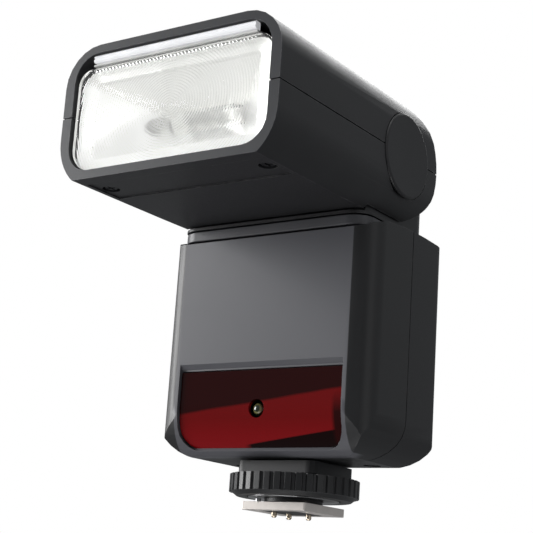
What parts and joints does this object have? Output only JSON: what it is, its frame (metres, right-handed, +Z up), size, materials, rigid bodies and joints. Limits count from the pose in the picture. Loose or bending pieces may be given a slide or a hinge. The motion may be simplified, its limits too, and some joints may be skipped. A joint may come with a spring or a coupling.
{
  "type": "speedlight_flash",
  "caption": "Compact camera speedlight: tilting and swivelling lamp head on a battery body with a red assist window and a locking shoe foot",
  "frame": {"origin": "centre of the shoe foot's underside, where the camera's shoe floor would be", "axes": "+Z up from the foot through body and head, -Y the way the lamp faces when level, +X to the object's left side as it faces the subject"},
  "size_m": [0.0628, 0.0814, 0.1051],
  "materials": {
    "casing_black": "fine moulded texture",
    "plate_graphite": "satin moulded",
    "ring_black": "moulded ribs",
    "foot_nickel": "satin nickel plate",
    "steel": "plain turned steel",
    "contact_gold": "gold plated",
    "window_red": "clear deep red, polished",
    "clear_plastic": "clear moulded acrylic",
    "reflector_silver": "polished bright",
    "tube_glass": "quartz glass",
    "card_white": "satin white sheet",
    "button_black": "fine matte",
    "rubber_black": "soft matte",
    "screen_glass": "polished window",
    "screen_grey": "display glass",
    "board_green": "lacquered circuit board",
    "capacitor_sleeve": "shrink sleeve",
    "cell_sleeve": "printed-free shrink sleeve",
    "coil_copper": "lacquered copper wire",
    "sensor_dark": "dark epoxy lens"
  },
  "bodies": {
    "body": {"assist_lamp_board": "board_green", "battery_contact": "steel", "battery_holder": "casing_black", "body_screw_left": "steel", "body_screw_right": "steel", "contact_insert": "casing_black", "foot_plate": "foot_nickel", "front_casing": "plate_graphite", "lcd_module": "screen_grey", "lcd_window": "screen_glass", "main_board": "board_green", "main_capacitor": "capacitor_sleeve", "pedestal": "casing_black", "photo_sensor": "sensor_dark", "rear_casing": "casing_black", "red_window": "window_red", "swivel_collar": "plate_graphite", "transformer": "coil_copper", "usb_socket": "steel", "battery_door_pin": "steel", "battery_cell_1": "cell_sleeve", "battery_cell_2": "cell_sleeve"},
    "turret": {"turret_base": "casing_black", "swivel_tube": "steel", "hinge_barrel": "casing_black", "tilt_disc_left": "steel", "tilt_disc_right": "steel", "tilt_shaft": "steel"},
    "head": {"head_upper_casing": "casing_black", "head_lower_casing": "casing_black", "hinge_cap_left": "casing_black", "hinge_cap_right": "casing_black", "fresnel_lens": "clear_plastic", "head_screw_left": "steel", "head_screw_right": "steel", "guide_rod_left": "steel", "guide_rod_right": "steel", "zoom_motor": "steel", "panel_tray": "button_black"},
    "zoom_carriage": {"zoom_carriage": "button_black", "reflector": "reflector_silver", "flash_tube": "tube_glass"},
    "lead_screw": {"lead_screw": "steel"},
    "wide_panel": {"wide_panel": "clear_plastic"},
    "bounce_card": {"bounce_card": "card_white"},
    "lock_ring": {"lock_ring": "ring_black"},
    "clamp_plate": {"clamp_plate": "steel"},
    "lock_pin": {"lock_pin": "steel"},
    "battery_door": {"battery_door": "casing_black"},
    "usb_cover": {"usb_cover": "rubber_black"},
    "mode_button": {"mode_button": "button_black"},
    "sync_button": {"sync_button": "button_black"},
    "zoom_button": {"zoom_button": "button_black"},
    "test_button": {"test_button": "button_black"},
    "set_button": {"set_button": "button_black"},
    "select_dial": {"select_dial": "button_black"},
    "power_switch": {"power_switch": "button_black"},
    "contact_pin_1": {"contact_pin_1": "contact_gold"},
    "contact_pin_2": {"contact_pin_2": "contact_gold"},
    "contact_pin_3": {"contact_pin_3": "contact_gold"}
  },
  "joints": [
    {"name": "swivel", "type": "hinge", "parent": "body", "child": "turret", "pos_m": [0, 0, 0.0694], "axis": [0, 0, 1], "range_deg": [-90, 180]},
    {"name": "tilt", "type": "hinge", "parent": "turret", "child": "head", "pos_m": [0, -0.0063, 0.0864], "axis": [-1, 0, 0], "range_deg": [0, 90]},
    {"name": "zoom_travel", "type": "slide", "parent": "head", "child": "zoom_carriage", "axis": [0, 1, 0], "range_m": [0, 0.012]},
    {"name": "lead_screw_turn", "type": "hinge", "parent": "head", "child": "lead_screw", "pos_m": [0, -0.0367, 0.0738], "axis": [0, 1, 0], "range_deg": [0, 1081]},
    {"name": "wide_panel_pull", "type": "slide", "parent": "head", "child": "wide_panel", "axis": [0, -1, 0], "range_m": [0, 0.036]},
    {"name": "bounce_card_pull", "type": "slide", "parent": "head", "child": "bounce_card", "axis": [0, -1, 0], "range_m": [0, 0.036]},
    {"name": "lock_ring_turn", "type": "hinge", "parent": "body", "child": "lock_ring", "pos_m": [0, 0, 0.0064], "axis": [0, 0, -1], "range_deg": [0, 270]},
    {"name": "clamp_travel", "type": "slide", "parent": "body", "child": "clamp_plate", "axis": [0, 0, -1], "range_m": [0, 0.0009]},
    {"name": "lock_pin_travel", "type": "slide", "parent": "body", "child": "lock_pin", "axis": [0, 0, -1], "range_m": [0, 0.0012]},
    {"name": "door_swing", "type": "hinge", "parent": "body", "child": "battery_door", "pos_m": [-0.0292, -0.0057, 0.031], "axis": [0, 0, 1], "range_deg": [0, 100]},
    {"name": "port_cover_swing", "type": "hinge", "parent": "body", "child": "usb_cover", "pos_m": [-0.03025, -0.0065, 0.0523], "axis": [0, -1, 0], "range_deg": [0, 110]},
    {"name": "mode_button_press", "type": "slide", "parent": "body", "child": "mode_button", "axis": [0, -1, 0], "range_m": [0, 0.0008], "stiffness_N_per_m": 400, "springref_m": -0.001},
    {"name": "sync_button_press", "type": "slide", "parent": "body", "child": "sync_button", "axis": [0, -1, 0], "range_m": [0, 0.0008], "stiffness_N_per_m": 400, "springref_m": -0.001},
    {"name": "zoom_button_press", "type": "slide", "parent": "body", "child": "zoom_button", "axis": [0, -1, 0], "range_m": [0, 0.0008], "stiffness_N_per_m": 400, "springref_m": -0.001},
    {"name": "test_button_press", "type": "slide", "parent": "body", "child": "test_button", "axis": [0, -1, 0], "range_m": [0, 0.0008], "stiffness_N_per_m": 400, "springref_m": -0.001},
    {"name": "set_button_press", "type": "slide", "parent": "body", "child": "set_button", "axis": [0, -1, 0], "range_m": [0, 0.0008], "stiffness_N_per_m": 400, "springref_m": -0.001},
    {"name": "select_dial_turn", "type": "hinge", "parent": "body", "child": "select_dial", "pos_m": [0, 0.0175, 0.0284], "axis": [0, 1, 0], "continuous": true},
    {"name": "power_slide", "type": "slide", "parent": "body", "child": "power_switch", "axis": [0, 0, 1], "range_m": [0, 0.003]},
    {"name": "contact_1_press", "type": "slide", "parent": "body", "child": "contact_pin_1", "axis": [0, 0, 1], "range_m": [0, 0.001], "stiffness_N_per_m": 300, "springref_m": -0.001},
    {"name": "contact_2_press", "type": "slide", "parent": "body", "child": "contact_pin_2", "axis": [0, 0, 1], "range_m": [0, 0.001], "stiffness_N_per_m": 300, "springref_m": -0.001},
    {"name": "contact_3_press", "type": "slide", "parent": "body", "child": "contact_pin_3", "axis": [0, 0, 1], "range_m": [0, 0.001], "stiffness_N_per_m": 300, "springref_m": -0.001}
  ],
  "couplings": [
    {"joint": "lead_screw_turn", "follows": "zoom_travel", "rad_per_m": 1570.8},
    {"joint": "clamp_travel", "follows": "lock_ring_turn", "m_per_rad": 0.00019},
    {"joint": "lock_pin_travel", "follows": "lock_ring_turn", "m_per_rad": 0.00025}
  ]
}
